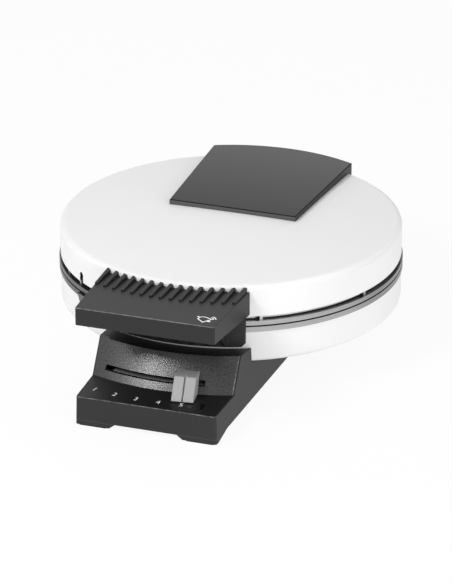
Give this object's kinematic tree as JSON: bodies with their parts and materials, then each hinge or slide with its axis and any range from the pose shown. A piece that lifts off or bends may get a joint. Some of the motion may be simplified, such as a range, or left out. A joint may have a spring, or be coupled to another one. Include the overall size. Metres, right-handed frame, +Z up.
{
  "type": "waffle cone maker",
  "caption": "Round white waffle cone iron with a hinged lid, black ribbed handle, black base and a sliding browning selector with signal lamps.",
  "frame": {"origin": "on the table, under the middle of the whole object", "axes": "+Z up, -Y towards the handle and the operator, +X to the operator's right"},
  "size_m": [0.2216, 0.2888, 0.0852],
  "materials": {
    "black_plastic": "fine satin grain",
    "grey_panel": "speckled satin",
    "grey_plastic": "satin",
    "light_grey_plastic": "satin",
    "rubber": "matt",
    "lead_rubber": "matt",
    "white_enamel": "smooth satin enamel",
    "cast_aluminium": "machined casting",
    "heater_steel": "heat-dulled",
    "zinc_steel": "zinc plated",
    "ring_steel": "rolled, streaked, dark along its edges",
    "bronze": "sintered",
    "ivory_ceramic": "unglazed ceramic",
    "dark_lens": "smooth tinted",
    "lamp": "clear coloured",
    "board": "coated laminate"
  },
  "bodies": {
    "base": {"base_housing": "black_plastic", "control_panel": "grey_panel", "base_bottom": "black_plastic", "foot_pads": "rubber", "bottom_screws": "zinc_steel", "indicator_lenses": "dark_lens", "indicator_lamps": "lamp", "signal_board": "board", "buzzer": "black_plastic", "terminal_block": "ivory_ceramic", "cord_inlet": "black_plastic", "lower_shell": "white_enamel", "lower_bake_plate": "cast_aluminium", "lower_heater": "heater_steel", "lower_reflector": "zinc_steel", "lower_plate_screws": "zinc_steel", "thermostat": "ivory_ceramic", "lever_rail": "light_grey_plastic", "hinge_pins": "zinc_steel", "hinge_pin_clips": "zinc_steel", "lid_lead_lower": "lead_rubber"},
    "lid": {"upper_shell": "white_enamel", "upper_bake_plate": "cast_aluminium", "rim_ring": "ring_steel", "rim_clips": "zinc_steel", "upper_heater": "heater_steel", "upper_reflector": "zinc_steel", "upper_plate_screws": "zinc_steel", "thermal_fuse": "ivory_ceramic", "handle": "black_plastic", "handle_screws": "zinc_steel", "rear_cover": "black_plastic", "cover_screws": "zinc_steel", "lid_hinge_bracket": "zinc_steel", "hinge_bushes": "bronze", "bracket_screws": "zinc_steel", "lid_lead_upper": "lead_rubber", "lid_connector": "ivory_ceramic"},
    "selector": {"thermostat_spindle": "zinc_steel", "spindle_clip": "zinc_steel", "selector_lever": "zinc_steel", "selector_knob": "grey_plastic"}
  },
  "joints": [
    {"name": "lid_hinge", "type": "hinge", "parent": "base", "child": "lid", "pos_m": [0, 0.13485, 0.0528], "axis": [-1, 0, 0], "range_deg": [0, 100]},
    {"name": "browning_slider", "type": "hinge", "parent": "base", "child": "selector", "pos_m": [0, 0.01785, 0.0247], "axis": [0, 0, -1], "range_deg": [0, 21.5]}
  ]
}
